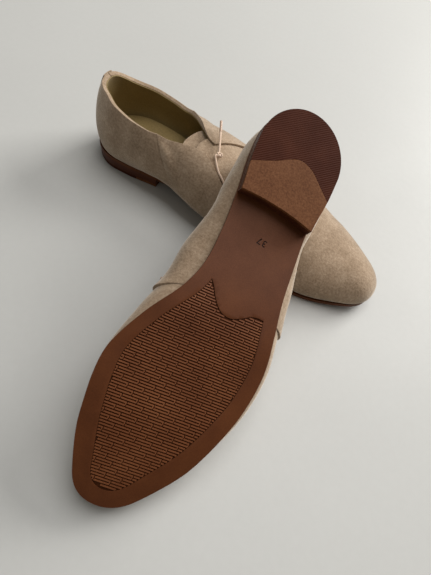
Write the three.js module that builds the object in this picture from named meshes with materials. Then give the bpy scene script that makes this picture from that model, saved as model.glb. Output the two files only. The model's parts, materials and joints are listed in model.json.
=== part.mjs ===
// A pair of low lace-up flats in suede, size 37, in millimetres, +Z up.
// The left shoe stands on the ground with its heel back at the origin side and its toe along +X; its lateral
// side is +Y. The right shoe is its mirror image, overturned: its toe touches the ground and its heel end
// leans on the vamp of the left shoe.
import * as THREE from "three";
import { mergeVertices } from "three/addons/utils/BufferGeometryUtils.js";

// ---- driving dimensions -------------------------------------------------------------------------------
const SHOE_LENGTH = 264;
const HEEL_WIDTH = 57.2;
const WAIST_WIDTH = 52;
const BALL_WIDTH = 85.8;
const TOE_WIDTH = 56;
const HEEL_ROUND = 30; // length of the rounded back end of the sole
const TOE_ROUND = 45; // length of the rounded front end of the sole

const OUTSOLE_THICKNESS = 3;
const LIFT_THICKNESS = 2.9;
const TOP_PIECE_THICKNESS = 2.6;
const TOE_SPRING = 7;
const HEEL_LENGTH = 68;
const BREAST_HOLLOW = 2; // how far the front face of the heel bows backwards

const BACK_HEIGHT = 62.5;
const MEDIAL_TOPLINE = 51.5;
const LATERAL_TOPLINE = 40.5;
const INSTEP_HEIGHT = 49.5;
const TOE_HEIGHT = 23.5;
const KINK_AT = 62; // where the topline turns into the top edge of the facing
const THROAT_AT = 103; // where the two facings come together

const LINING_THICKNESS = 0.8;
const STIFFENER_THICKNESS = 0.9;
const UPPER_THICKNESS = 1.4;
const BOARD_THICKNESS = 1.6;
const SOCK_THICKNESS = 1;
const CORK_THICKNESS = 1.5;
const HEEL_PAD_THICKNESS = 2;
const SHANK_THICKNESS = 1.2;
const LACE_DIAMETER = 1.6;
const GAP = 0.3; // clearance between faces that touch
const LAYER_GAP = 0.6; // clearance between the layers of the upper
const LAP_GAP = 0.9; // clearance between the facings and the vamp they lap over
const HEEL_REST_AT = 20; // how far forward of the heel back the origin lies, on the ground face of the left heel

// Where the right shoe lies: the place of its heel back, and the axis and angle (radians) it is turned by.
const RIGHT_PLACE = new THREE.Vector3(164.43, 15.15, 110.9);
const RIGHT_TURN = new THREE.Quaternion().setFromAxisAngle(
  new THREE.Vector3(0.7408, -0.6362, -0.2157).normalize(),
  3.1833,
);

// ---- small helpers ------------------------------------------------------------------------------------
const mix = THREE.MathUtils.lerp;
const ease = (value, low, high) => THREE.MathUtils.smoothstep(value, low, high);

// A smooth line through points [place, value]; beyond its ends it keeps the end values.
function through(points) {
  const slope = points.map((point, k) => {
    const before = points[Math.max(k - 1, 0)];
    const after = points[Math.min(k + 1, points.length - 1)];
    return (after[1] - before[1]) / (after[0] - before[0]);
  });
  return (place) => {
    if (place <= points[0][0]) return points[0][1];
    let k = 1;
    while (k < points.length && points[k][0] < place) k += 1;
    if (k === points.length) return points[k - 1][1];
    const [x0, y0] = points[k - 1];
    const [x1, y1] = points[k];
    const span = x1 - x0;
    const u = (place - x0) / span;
    const steep0 = slope[k - 1] * span;
    const steep1 = slope[k] * span;
    return (
      y0 * (1 + 2 * u) * (1 - u) ** 2 + y1 * u * u * (3 - 2 * u) + steep0 * u * (1 - u) ** 2 - steep1 * u * u * (1 - u)
    );
  };
}

// A closed solid between two lattices of points. An end that is folded onto itself gets no wall.
function shellSolid(columns, rows, outer, inner, foldedEnd = false) {
  const positions = [];
  const index = [];
  const wide = rows + 1;
  [outer, inner].forEach((face) => {
    for (let i = 0; i <= columns; i += 1) {
      for (let j = 0; j <= rows; j += 1) {
        positions.push(...face(i / columns, j / rows).toArray());
      }
    }
  });
  const out = (i, j) => i * wide + j;
  const back = (i, j) => (columns + 1) * wide + i * wide + j;
  const quad = (a, b, c, d) => index.push(a, b, c, a, c, d);
  for (let i = 0; i < columns; i += 1) {
    for (let j = 0; j < rows; j += 1) {
      quad(out(i, j), out(i + 1, j), out(i + 1, j + 1), out(i, j + 1));
      quad(back(i, j), back(i, j + 1), back(i + 1, j + 1), back(i + 1, j));
    }
    quad(out(i, 0), back(i, 0), back(i + 1, 0), out(i + 1, 0));
    quad(out(i, rows), out(i + 1, rows), back(i + 1, rows), back(i, rows));
  }
  for (let j = 0; j < rows; j += 1) {
    quad(out(0, j), out(0, j + 1), back(0, j + 1), back(0, j));
    if (!foldedEnd) quad(out(columns, j), back(columns, j), back(columns, j + 1), out(columns, j + 1));
  }
  const loose = new THREE.BufferGeometry();
  loose.setAttribute("position", new THREE.Float32BufferAttribute(positions, 3));
  loose.setIndex(index);
  const merged = mergeVertices(loose, 1e-3);
  const corners = merged.index.array;
  const kept = [];
  for (let k = 0; k < corners.length; k += 3) {
    const [a, b, c] = [corners[k], corners[k + 1], corners[k + 2]];
    if (a !== b && b !== c && c !== a) kept.push(a, b, c);
  }
  merged.setIndex(kept);
  return facingOut(merged);
}

// The geometry with its faces turned so that they point outwards.
function facingOut(geometry) {
  const place = geometry.getAttribute("position");
  const corners = Array.from(geometry.index.array);
  const [a, b, c] = [new THREE.Vector3(), new THREE.Vector3(), new THREE.Vector3()];
  let volume = 0;
  for (let k = 0; k < corners.length; k += 3) {
    a.fromBufferAttribute(place, corners[k]);
    b.fromBufferAttribute(place, corners[k + 1]);
    c.fromBufferAttribute(place, corners[k + 2]);
    volume += a.dot(b.cross(c));
  }
  if (volume < 0) corners.reverse();
  geometry.setIndex(corners);
  geometry.computeVertexNormals();
  return geometry;
}

const point = (x, y, z) => new THREE.Vector3(x, y, z);

// ---- the outline and the heights of the last ------------------------------------------------------------
const MEDIAL = -1;
const LATERAL = 1;
const share = (part) => part * SHOE_LENGTH;

const centreLine = through([
  [share(0), 2],
  [share(0.1), 4],
  [share(0.26), 7.7],
  [share(0.34), 10.3],
  [share(0.44), 12.2],
  [share(0.515), 12],
  [share(0.606), 8.5],
  [share(0.72), 3.2],
  [share(0.852), 0.8],
  [share(1), -3.2],
]);
const halfBreadth = through([
  [share(0), HEEL_WIDTH / 2],
  [share(0.16), HEEL_WIDTH / 2],
  [share(0.26), WAIST_WIDTH / 2],
  [share(0.39), WAIST_WIDTH / 2],
  [share(0.45), mix(WAIST_WIDTH, BALL_WIDTH, 0.07) / 2],
  [share(0.515), mix(WAIST_WIDTH, BALL_WIDTH, 0.31) / 2],
  [share(0.606), mix(WAIST_WIDTH, BALL_WIDTH, 0.79) / 2],
  [share(0.7), BALL_WIDTH / 2],
  [share(0.77), mix(TOE_WIDTH, BALL_WIDTH, 0.84) / 2],
  [share(0.852), mix(TOE_WIDTH, BALL_WIDTH, 0.44) / 2],
  [share(0.94), TOE_WIDTH / 2],
  [share(1), TOE_WIDTH / 2],
]);

// How much of the full breadth is left near the rounded ends of the sole.
function endRound(x) {
  const fromHeel = Math.max(0, 1 - x / HEEL_ROUND);
  const fromToe = Math.max(0, 1 - (SHOE_LENGTH - x) / TOE_ROUND);
  const heelPart = Math.sqrt(Math.max(0, 1 - fromHeel ** 2));
  const toePart = Math.max(0, 1 - fromToe ** 2.2) ** (1 / 2.2);
  return heelPart * toePart;
}

// A place on the sole: along it (0 heel back, 1 toe), across it (-1 medial edge, 1 lateral edge).
function planPoint(x, across, inset) {
  const round = endRound(x) * (halfBreadth(x) - inset);
  return point(inset + x * (1 - (2 * inset) / SHOE_LENGTH), centreLine(x) + across * round, 0);
}

const HEEL_STACK = TOP_PIECE_THICKNESS + 2 * LIFT_THICKNESS + 3 * GAP;
const soleUnderside = (x) => {
  const waist = HEEL_STACK * (1 - ease(x, HEEL_LENGTH, share(0.58)));
  const spring = TOE_SPRING * Math.max(0, (x - share(0.74)) / share(0.26)) ** 2;
  return waist + spring;
};
const featherHeight = (x) => soleUnderside(x) + OUTSOLE_THICKNESS + GAP;
const backCurve = (halfWide) => (HEEL_ROUND / 2) * ((2 * halfWide) / HEEL_WIDTH) ** 2;

const ridgeHeight = through([
  [28, BACK_HEIGHT + 11.5],
  [48, mix(INSTEP_HEIGHT, BACK_HEIGHT, 0.88)],
  [KINK_AT, INSTEP_HEIGHT + 6],
  [76, INSTEP_HEIGHT + 1],
  [THROAT_AT, INSTEP_HEIGHT],
  [share(0.49), INSTEP_HEIGHT - 3.5],
  [share(0.57), INSTEP_HEIGHT - 8],
  [share(0.66), mix(TOE_HEIGHT, INSTEP_HEIGHT, 0.46)],
  [share(0.76), mix(TOE_HEIGHT, INSTEP_HEIGHT, 0.22)],
  [share(0.835), mix(TOE_HEIGHT, INSTEP_HEIGHT, 0.07)],
  [share(0.9), TOE_HEIGHT],
]);
const ridgeLine = through([[28, 3], [62, 0], [103, -2], [140, -1], [185, 2], [236, -1.5]]);
const fullness = {
  [MEDIAL]: through([[0, 2.8], [14, 2.5], [28, 3.2], [45, 3.6], [KINK_AT, 3.2], [THROAT_AT, 2.4],
    [share(0.6), 2.15], [share(1), 2.1]]),
  [LATERAL]: through([[0, 2.8], [14, 2.15], [28, 2.4], [45, 2.8], [KINK_AT, 2.8], [THROAT_AT, 2.4],
    [share(0.6), 2.15], [share(1), 2.1]]),
};
// How far the wall of the upper stands out beyond its foot, and the share of the rise at which it does.
const overhang = {
  [MEDIAL]: through([[0, 2.5], [40, 4], [70, 10], [110, 17], [140, 12], [165, 6], [185, 3], [230, 2]]),
  [LATERAL]: through([[0, 2.5], [12, 6], [30, 8], [60, 8], [100, 10.8], [140, 10.5], [185, 9.3], [205, 8.2],
    [222, 5.3], [240, 4], [share(1), 2]]),
};
const WIDEST_RISE = 0.35;

// The spine is the line that the sections fan out from: shorter than the sole at both ends.
const SPINE_HEEL = 28;
const SPINE_TOE = share(1) - 28;
const FAN_HEEL = 60;
const FAN_TOE = share(0.76);
function spineAt(x) {
  if (x < FAN_HEEL) {
    const inside = FAN_HEEL - x;
    return FAN_HEEL - inside + (SPINE_HEEL / FAN_HEEL ** 2) * inside ** 2;
  }
  if (x > FAN_TOE) {
    const inside = x - FAN_TOE;
    const whole = SHOE_LENGTH - FAN_TOE;
    return x - ((SHOE_LENGTH - SPINE_TOE) / whole ** 2) * inside ** 2;
  }
  return x;
}

const LINING_INSET = 4.6; // how far inside the sole's edge the inner face of the lining stands
const alongOf = (x) => Math.acos(1 - (2 * THREE.MathUtils.clamp(x, 0, SHOE_LENGTH)) / SHOE_LENGTH) / Math.PI;
const xOf = (along) => (SHOE_LENGTH * (1 - Math.cos(Math.PI * along))) / 2;

// A point of the inner face of the lining. along: 0 heel to 1 toe; rise: 0 feather edge to 1 ridge.
function lastPoint(side, along, rise) {
  const x = xOf(along);
  const foot = planPoint(x, side, LINING_INSET);
  const spineX = spineAt(x);
  const spine = point(spineX, ridgeLine(spineX), 0);
  const low = featherHeight(x) + GAP;
  const lift = Math.sin((Math.PI / 2) * rise);
  const full = fullness[side](x);
  const reach = Math.max(0, 1 - lift ** full) ** (1 / full);
  const outward = foot.clone().sub(spine);
  const wide = outward.length();
  const over = overhang[side](x);
  const tuck = over * Math.max(0, 1 - lift / WIDEST_RISE) ** 2;
  const distance = (wide + over) * reach - tuck;
  const place = spine.add(outward.multiplyScalar(distance / wide));
  place.z = mix(low, ridgeHeight(spineX), lift);
  return place;
}

// The same point pushed outwards, square to the surface, and level at the feather edge.
const LEVEL_RISE = 0.2;
function layerPoint(side, along, rise, offset) {
  const step = 0.004;
  const here = lastPoint(side, along, rise);
  const ahead = lastPoint(side, Math.min(along + step, 1), rise);
  const behind = lastPoint(side, Math.max(along - step, 0), rise);
  const above = lastPoint(side, along, Math.min(rise + step, 1));
  const below = lastPoint(side, along, Math.max(rise - step, 0));
  let lengthwise = ahead.sub(behind);
  if (along < step || along > 1 - step) {
    const turn = along > 0.5 ? -side : side;
    lengthwise = point(0, turn, 0);
  }
  let upward = above.sub(below);
  if (rise > 1 - 1e-6) {
    upward = point(0, -side, 0);
    if (along > 1 - step) upward = point(-1, 0, 0);
  }
  const normal = lengthwise.cross(upward).multiplyScalar(-side).normalize();
  if (rise > 1 - 1e-6) {
    const near = spineAt(xOf(Math.max(along - step, 0)));
    const far = spineAt(xOf(Math.min(along + step, 1)));
    const slope = (ridgeHeight(far) - ridgeHeight(near)) / Math.max(far - near, 1e-6);
    normal.set(-slope, 0, 1).normalize();
  }
  normal.z *= ease(rise, 0, LEVEL_RISE);
  normal.normalize();
  return here.addScaledVector(normal, offset);
}

// ---- the layers of the upper -----------------------------------------------------------------------------
// Depth of the space between lining and upper: a stiffener fills it at the heel and at the toe.
const stiffened = (x) => Math.max(1 - ease(x, 58, 74), ease(x, share(0.78), share(0.84)));
const upperInside = (x) => LINING_THICKNESS + LAYER_GAP + stiffened(x) * (STIFFENER_THICKNESS + LAYER_GAP);

const toplineHeight = {
  [MEDIAL]: through([[0, BACK_HEIGHT], [12, BACK_HEIGHT - 1], [25, mix(MEDIAL_TOPLINE, BACK_HEIGHT, 0.75)],
    [42, mix(MEDIAL_TOPLINE, BACK_HEIGHT, 0.38)], [KINK_AT, MEDIAL_TOPLINE]]),
  [LATERAL]: through([[0, BACK_HEIGHT], [6, mix(LATERAL_TOPLINE, BACK_HEIGHT, 0.66)],
    [12, mix(LATERAL_TOPLINE, BACK_HEIGHT, 0.43)], [25, mix(LATERAL_TOPLINE, BACK_HEIGHT, 0.2)],
    [42, mix(LATERAL_TOPLINE, BACK_HEIGHT, 0.05)], [KINK_AT, LATERAL_TOPLINE]]),
};
const THROAT_RISE = 0.93;

// The rise at which the upper ends: at the topline, then along the top edge of the facing.
function topRise(side, x) {
  const at = Math.min(x, KINK_AT);
  const low = featherHeight(at);
  const lift = (toplineHeight[side](at) - low) / (ridgeHeight(spineAt(at)) - low);
  const rise = Math.asin(Math.min(lift, 1)) / (Math.PI / 2);
  return mix(rise, THROAT_RISE, ease(x, KINK_AT - 8, THROAT_AT) ** 0.8);
}

// The lines that the pieces of the upper are cut to, by height (0 feather edge, 1 top edge).
const quarterSeam = through([[0, 92], [1, KINK_AT]]);
const facingFront = {
  [MEDIAL]: through([[0, 137], [0.25, 147], [0.42, 146], [0.62, 136], [0.82, 120], [1, THROAT_AT]]),
  [LATERAL]: through([[0, 130], [0.25, 136], [0.42, 134], [0.62, 125], [0.82, 112], [1, THROAT_AT]]),
};

// A piece of the upper between two lines across the shoe.
function upperPanel(side, fromLine, toLine, columns, rows, inside, thickness) {
  const face = (extra) => (u, v) => {
    const start = alongOf(fromLine(v));
    const end = alongOf(toLine(v));
    const along = mix(start, end, u);
    const x = xOf(along);
    return layerPoint(side, along, v * topRise(side, x), inside(x, u) + extra);
  };
  return shellSolid(columns, rows, face(thickness), face(0));
}

const BACK_SEAM = backCurve(GAP / 2);
const quarterSolid = (side) =>
  upperPanel(side, () => BACK_SEAM, (v) => quarterSeam(v) - GAP, 9, 6, upperInside, UPPER_THICKNESS);

const FACING_LAP = UPPER_THICKNESS + LAP_GAP;
const facingSolid = (side) =>
  upperPanel(
    side,
    quarterSeam,
    facingFront[side],
    8,
    8,
    (x, u) => upperInside(x) + FACING_LAP * ease(u, 0, 0.35),
    UPPER_THICKNESS,
  );

// A sheet over the forepart: u runs forward to the toe, v from the medial to the lateral feather edge.
function forepartSheet(backLine, columns, rows, inside, thickness, lowest = 0) {
  const face = (extra) => (u, v) => {
    const across = 2 * v - 1;
    const side = across < 0 ? MEDIAL : LATERAL;
    const rise = 1 - Math.abs(across);
    const along = mix(alongOf(backLine(side, rise)), 1, u);
    const height = lowest + (1 - lowest) * rise;
    return layerPoint(side, along, height, inside(xOf(along)) + extra);
  };
  return shellSolid(columns, rows, face(thickness), face(0), true);
}

const VAMP_TUCK = 9; // how far the vamp runs back under the facings
const vampBack = (side, rise) => facingFront[side](rise / THROAT_RISE) - VAMP_TUCK;
const vampSolid = () => forepartSheet(vampBack, 13, 14, upperInside, UPPER_THICKNESS);
const vampLiningSolid = () => forepartSheet(vampBack, 13, 14, () => 0, LINING_THICKNESS);
const PUFF_FROM = share(0.85);
const toePuffSolid = () =>
  forepartSheet(() => PUFF_FROM, 7, 14, () => LINING_THICKNESS + LAYER_GAP, STIFFENER_THICKNESS);

// The lining of the back part, in one piece round the heel.
function backPartSolid(reach, columns, rows, inside, thickness, lowest, highest) {
  const face = (extra) => (u, v) => {
    const across = 2 * u - 1;
    const side = across < 0 ? MEDIAL : LATERAL;
    const along = alongOf(reach(v, side)) * Math.abs(across);
    const x = xOf(along);
    const rise = mix(lowest, highest * topRise(side, x), v);
    return layerPoint(side, along, rise, inside + extra);
  };
  return shellSolid(columns, rows, face(thickness), face(0));
}
const quarterLiningSolid = () =>
  backPartSolid((v, side) => vampBack(side, v * THROAT_RISE) - 2 * GAP, 26, 6, 0, LINING_THICKNESS, 0, 0.985);
const counterSolid = () =>
  backPartSolid((v) => mix(58, 44, v), 20, 6, LINING_THICKNESS + LAYER_GAP, STIFFENER_THICKNESS, 0.02, 0.76);

const TONGUE_BACK = THROAT_AT - 21;
const TONGUE_FRONT = THROAT_AT - 4;
const TONGUE_LOW = 0.62;
const TONGUE_HOLLOW = 5;
const TONGUE_SHOULDER = 6;
const tongueSolid = () => {
  const face = (extra) => (u, v) => {
    const across = 2 * v - 1;
    const side = across < 0 ? MEDIAL : LATERAL;
    const back = TONGUE_BACK + TONGUE_HOLLOW * across ** 2;
    const front = TONGUE_FRONT - TONGUE_SHOULDER * across ** 2;
    const along = mix(alongOf(back), alongOf(front), u);
    return layerPoint(side, along, mix(1, TONGUE_LOW, Math.abs(across)), extra - LAYER_GAP);
  };
  return shellSolid(4, 8, face(0), face(-UPPER_THICKNESS));
};

const TAB_HALF = 5.5;
const TAB_LOW = 0.55;
const backTabSolid = () => {
  const face = (extra) => (u, v) => {
    const across = 2 * u - 1;
    const side = across < 0 ? MEDIAL : LATERAL;
    const along = alongOf(backCurve(TAB_HALF)) * Math.abs(across);
    const rise = mix(TAB_LOW, 1, v) * topRise(side, 0);
    return layerPoint(side, along, rise, upperInside(0) + UPPER_THICKNESS + GAP + extra);
  };
  return shellSolid(4, 4, face(LINING_THICKNESS), face(0));
};

// ---- the bottom ---------------------------------------------------------------------------------------------
// A flat layer that follows the sole between two heights, from one line across to another.
function soleLayer(fromX, toX, inset, top, bottom, columns = 18, rows = 4) {
  const face = (height) => (u, v) => {
    const along = mix(alongOf(fromX(v)), alongOf(toX(v)), u);
    const x = xOf(along);
    const place = planPoint(x, 2 * v - 1, inset);
    place.z = height(place.x);
    return place;
  };
  return shellSolid(columns, rows, face(top), face(bottom));
}

const outsoleSolid = () =>
  soleLayer(() => 0, () => SHOE_LENGTH, 0, (x) => soleUnderside(x) + OUTSOLE_THICKNESS, soleUnderside, 44, 2);
const breastLine = (v) => HEEL_LENGTH - BREAST_HOLLOW * (1 - (2 * v - 1) ** 2);
const heelLayer = (level, thickness, inset, fromX = () => 0, toX = breastLine) =>
  soleLayer(fromX, toX, inset, () => level + thickness, () => level, 10, 4);

// The wavy line between the rubber and the leather part of the top piece.
const pieceJoint = (v) => through([[0, 50], [0.25, 42], [0.5, 32.5], [0.68, 33.5], [0.85, 40], [1, 46]])(v);

const BOARD_INSET = LINING_INSET + LAYER_GAP;
const boardLevel = (x) => featherHeight(x) + CORK_THICKNESS + GAP;
const sockLevel = (x) =>
  boardLevel(x) + BOARD_THICKNESS + GAP + (HEEL_PAD_THICKNESS + GAP) * (1 - ease(x, 58, 84));
const boardSolid = () =>
  soleLayer(() => 0, () => SHOE_LENGTH, BOARD_INSET, (x) => boardLevel(x) + BOARD_THICKNESS, boardLevel, 32, 2);
const sockSolid = () =>
  soleLayer(() => 0, () => SHOE_LENGTH, BOARD_INSET, (x) => sockLevel(x) + SOCK_THICKNESS, sockLevel, 32, 2);
const heelPadSolid = () =>
  soleLayer(() => 4, (v) => 56 - 5 * (2 * v - 1) ** 2, BOARD_INSET + 3,
    (x) => boardLevel(x) + BOARD_THICKNESS + GAP + HEEL_PAD_THICKNESS,
    (x) => boardLevel(x) + BOARD_THICKNESS + GAP, 10, 2);
const corkSolid = () =>
  soleLayer(() => share(0.58), () => share(0.985), BOARD_INSET + 2,
    (x) => featherHeight(x) + CORK_THICKNESS - GAP, featherHeight, 12, 2);

const SHANK_HALF = 6;
const shankSolid = () => {
  const face = (extra) => (u, v) => {
    const x = mix(38, share(0.56), u);
    const half = SHANK_HALF * (1 - 0.25 * (2 * u - 1) ** 2);
    return point(x, centreLine(x) + (2 * v - 1) * half, featherHeight(x) + extra);
  };
  return shellSolid(14, 1, face(SHANK_THICKNESS), face(0));
};

const SCREW_AT = 26;
const screwSolid = () => {
  const top = featherHeight(SCREW_AT) + CORK_THICKNESS;
  const low = featherHeight(SCREW_AT);
  const profile = [[0, low], [2, low], [4, top - 0.2], [4, top], [0, top]];
  const turned = new THREE.LatheGeometry(profile.map(([r, z]) => new THREE.Vector2(r, z)), 16);
  turned.rotateX(Math.PI / 2);
  turned.translate(SCREW_AT, centreLine(SCREW_AT), 0);
  return closed(turned);
};

// A standard geometry with its seam vertices merged, so that it is one closed surface.
function closed(geometry) {
  geometry.deleteAttribute("normal");
  geometry.deleteAttribute("uv");
  const merged = mergeVertices(geometry, 1e-3);
  const corners = merged.index.array;
  const kept = [];
  for (let k = 0; k < corners.length; k += 3) {
    const [a, b, c] = [corners[k], corners[k + 1], corners[k + 2]];
    if (a !== b && b !== c && c !== a) kept.push(a, b, c);
  }
  merged.setIndex(kept);
  return facingOut(merged);
}

// ---- the lace -------------------------------------------------------------------------------------------------
const LACE_SIDES = 8;
const LACE_STEP = 3.4; // length of one step of a lace tube
function laceTube(route, diameter = LACE_DIAMETER) {
  const section = new THREE.Shape().absarc(0, 0, diameter / 2, 0, 2 * Math.PI);
  const path = new THREE.CatmullRomCurve3(route);
  const steps = Math.max(1, Math.round(path.getLength() / LACE_STEP));
  return closed(new THREE.ExtrudeGeometry(section, { steps, curveSegments: LACE_SIDES / 2, extrudePath: path }));
}

const KNOT_RADIUS = 2.7;
const KNOT_AT = THROAT_AT + 9;
const AGLET_DIAMETER = 2;
const AGLET_LENGTH = 11;
const FACE_CLEAR = GAP + LACE_DIAMETER / 2;
const upperOutside = (x) => upperInside(x) + UPPER_THICKNESS;

// A point above the outer face of the vamp, by side, length and rise.
const onVamp = (side, x, rise, above) => layerPoint(side, alongOf(x), rise, upperOutside(x) + above);

const knotCentre = () => onVamp(MEDIAL, KNOT_AT, 1, GAP + KNOT_RADIUS);
const knotSolid = () => {
  const ball = new THREE.SphereGeometry(KNOT_RADIUS, 12, 8);
  ball.translate(...knotCentre().toArray());
  return closed(ball);
};

// A point beside the knot, given by how far along, across and up it lies from the knot's centre.
const fromKnot = (along, across, up) => knotCentre().add(point(along, across, up));

// The tails of the left lace: one lies along the front of the medial facing, one reaches over the lateral facing.
const BESIDE_FACING = 3.4;
const besideFacing = (rise, above) =>
  onVamp(MEDIAL, facingFront[MEDIAL](rise / THROAT_RISE) + BESIDE_FACING, rise, FACE_CLEAR + above);
const leftMedialTail = () => [
  fromKnot(-1.4, -3.2, 0),
  besideFacing(0.82, 0.5),
  besideFacing(0.76, 0.3),
  besideFacing(0.7, 0.3),
  besideFacing(0.62, 0.3),
  besideFacing(0.54, 0.3),
  besideFacing(0.47, 0.3),
];
const leftLateralTail = () => [
  fromKnot(-1.8, 2.6, 0.4),
  fromKnot(-4.5, 7, 1.6),
  fromKnot(-8, 13, 2.6),
  fromKnot(-11, 18, 3),
];

// The tails of the right lace hang from the knot of the overturned shoe and end on the ground.
const rightKnot = () => knotCentre().multiply(point(1, -1, 1)).applyQuaternion(RIGHT_TURN).add(RIGHT_PLACE);
const hangingTail = (start, drift, run) => {
  const knot = rightKnot();
  const ground = AGLET_DIAMETER / 2 + GAP;
  const along = (part, height) => knot.clone().addScaledVector(drift, part).setZ(height);
  return [
    knot.clone().add(start),
    along(0.25, knot.z - 9),
    along(0.5, mix(ground, knot.z, 0.55)),
    along(0.8, mix(ground, knot.z, 0.2)),
    along(1.5, ground + 1),
    along(2.2, ground),
    along(2.2 + run, ground),
  ];
};
const rightMedialTail = () => hangingTail(point(-2.2, 0, -3), point(-7, -3, 0), 0.9);
const rightLateralTail = () => hangingTail(point(2.2, 0, -3), point(5, -7, 0), 0.4);

// The metal end of a tail: it carries on straight past the last point of its route.
const agletOn = (route) => {
  const last = route[route.length - 1];
  const way = last.clone().sub(route[route.length - 2]).normalize();
  return [last.clone().addScaledVector(way, GAP), last.clone().addScaledVector(way, GAP + AGLET_LENGTH)];
};

const colours = {
  suede: 0xb7a187,
  lining: 0x8a7b55,
  leather: 0x7a4a2c,
  heel: 0x6b4630,
  rubber: 0x5a2a1a,
  board: 0x9a8462,
  cork: 0xb08a5a,
  steel: 0x9a9c9f,
  felt: 0xc9c2b0,
  lace: 0xd2b8a2,
};
function finish(colour, roughness, metalness = 0) {
  return new THREE.MeshStandardMaterial({ color: colours[colour], roughness, metalness });
}

// The pieces of one shoe: name, geometry, colour, roughness.
const LEVEL_UPPER = TOP_PIECE_THICKNESS + LIFT_THICKNESS + 2 * GAP;
const LEVEL_LOWER = TOP_PIECE_THICKNESS + GAP;
function shoePieces() {
  return [
    ["outsole", outsoleSolid(), "leather", 0.6],
    ["heel_lift_upper", heelLayer(LEVEL_UPPER, LIFT_THICKNESS, 0.3), "heel", 0.7],
    ["heel_lift_lower", heelLayer(LEVEL_LOWER, LIFT_THICKNESS, 0.6), "heel", 0.7],
    ["top_piece_rubber", heelLayer(0, TOP_PIECE_THICKNESS, 0.6, () => 0, (v) => pieceJoint(v) - GAP), "rubber", 0.8],
    ["top_piece_leather", heelLayer(0, TOP_PIECE_THICKNESS, 0.6, pieceJoint), "heel", 0.7],
    ["insole_board", boardSolid(), "board", 0.9],
    ["shank", shankSolid(), "steel", 0.4],
    ["cork_filler", corkSolid(), "cork", 0.95],
    ["heel_pad", heelPadSolid(), "felt", 0.95],
    ["sock_lining", sockSolid(), "lining", 0.8],
    ["vamp", vampSolid(), "suede", 0.95],
    ["quarter_medial", quarterSolid(MEDIAL), "suede", 0.95],
    ["quarter_lateral", quarterSolid(LATERAL), "suede", 0.95],
    ["facing_medial", facingSolid(MEDIAL), "suede", 0.95],
    ["facing_lateral", facingSolid(LATERAL), "suede", 0.95],
    ["tongue", tongueSolid(), "suede", 0.95],
    ["heel_counter", counterSolid(), "board", 0.9],
    ["toe_puff", toePuffSolid(), "board", 0.9],
    ["vamp_lining", vampLiningSolid(), "lining", 0.85],
    ["quarter_lining", quarterLiningSolid(), "lining", 0.85],
    ["back_tab", backTabSolid(), "suede", 0.95],
    ["heel_screw", screwSolid(), "steel", 0.4],
    ["lace_knot", knotSolid(), "lace", 0.85],
  ];
}

// The two tails of one lace, each with its metal end.
const tailPieces = (medial, lateral) => [
  ["lace_tail_medial", laceTube(medial), "lace", 0.85],
  ["lace_tail_lateral", laceTube(lateral), "lace", 0.85],
  ["aglet_medial", laceTube(agletOn(medial), AGLET_DIAMETER), "steel", 0.35],
  ["aglet_lateral", laceTube(agletOn(lateral), AGLET_DIAMETER), "steel", 0.35],
];

function groupOf(name, pieces) {
  const group = new THREE.Group();
  pieces.forEach(([piece, geometry, colour, roughness]) => {
    const metalness = colour === "steel" ? 1 : 0;
    const mesh = new THREE.Mesh(geometry, finish(colour, roughness, metalness));
    mesh.name = name + "_" + piece;
    group.add(mesh);
  });
  return group;
}

const overturned = groupOf("right", shoePieces());
overturned.scale.y = -1;
const lying = new THREE.Group();
lying.add(overturned);
lying.quaternion.copy(RIGHT_TURN);
lying.position.copy(RIGHT_PLACE);

const standing = new THREE.Group();
standing.add(groupOf("left", shoePieces()));
standing.add(groupOf("left", tailPieces(leftMedialTail(), leftLateralTail())));
standing.add(groupOf("right", tailPieces(rightMedialTail(), rightLateralTail())));
standing.add(lying);
standing.position.set(-HEEL_REST_AT, -centreLine(HEEL_REST_AT), 0);

const pair = new THREE.Group();
pair.add(standing);
export default pair;
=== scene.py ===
"""A pair of low suede lace-up flats, size 37: the left one stands, the right one lies overturned across it."""

import json
import logging
import math
from dataclasses import dataclass, field
from enum import Enum
from functools import partial
from typing import Callable, Iterator, Sequence

import bmesh
import bpy
from mathutils import Matrix, Quaternion, Vector

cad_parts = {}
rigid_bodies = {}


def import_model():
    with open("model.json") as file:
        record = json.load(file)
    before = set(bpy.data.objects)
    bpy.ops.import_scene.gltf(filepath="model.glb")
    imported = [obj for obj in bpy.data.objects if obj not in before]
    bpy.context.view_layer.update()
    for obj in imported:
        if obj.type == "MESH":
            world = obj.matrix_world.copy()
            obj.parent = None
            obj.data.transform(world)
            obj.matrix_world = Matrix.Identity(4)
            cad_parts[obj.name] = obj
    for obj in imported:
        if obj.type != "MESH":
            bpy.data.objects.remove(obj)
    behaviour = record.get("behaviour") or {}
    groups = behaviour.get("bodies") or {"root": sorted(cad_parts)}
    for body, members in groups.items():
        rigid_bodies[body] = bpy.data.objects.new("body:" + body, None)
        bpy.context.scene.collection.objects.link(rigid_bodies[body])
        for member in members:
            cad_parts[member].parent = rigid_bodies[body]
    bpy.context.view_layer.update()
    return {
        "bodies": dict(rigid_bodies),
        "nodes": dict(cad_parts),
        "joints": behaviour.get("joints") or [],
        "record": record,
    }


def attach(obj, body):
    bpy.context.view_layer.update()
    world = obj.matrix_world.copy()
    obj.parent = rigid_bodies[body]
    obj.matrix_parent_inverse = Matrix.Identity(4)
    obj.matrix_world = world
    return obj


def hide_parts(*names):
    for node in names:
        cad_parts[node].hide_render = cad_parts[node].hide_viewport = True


logging.basicConfig(level=logging.INFO, format="%(message)s")
LOG = logging.getLogger("flats")

Place = Callable[[float, float], Vector]
Profile = Callable[[float], float]
Colour = tuple[int, int, int]
Sheet = bmesh.types.BMesh
Finishes = dict[str, bpy.types.Material]
MILLIMETRE = 0.001


class Side(Enum):
    """The inner and the outer side of a foot."""

    MEDIAL = -1
    LATERAL = 1


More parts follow.
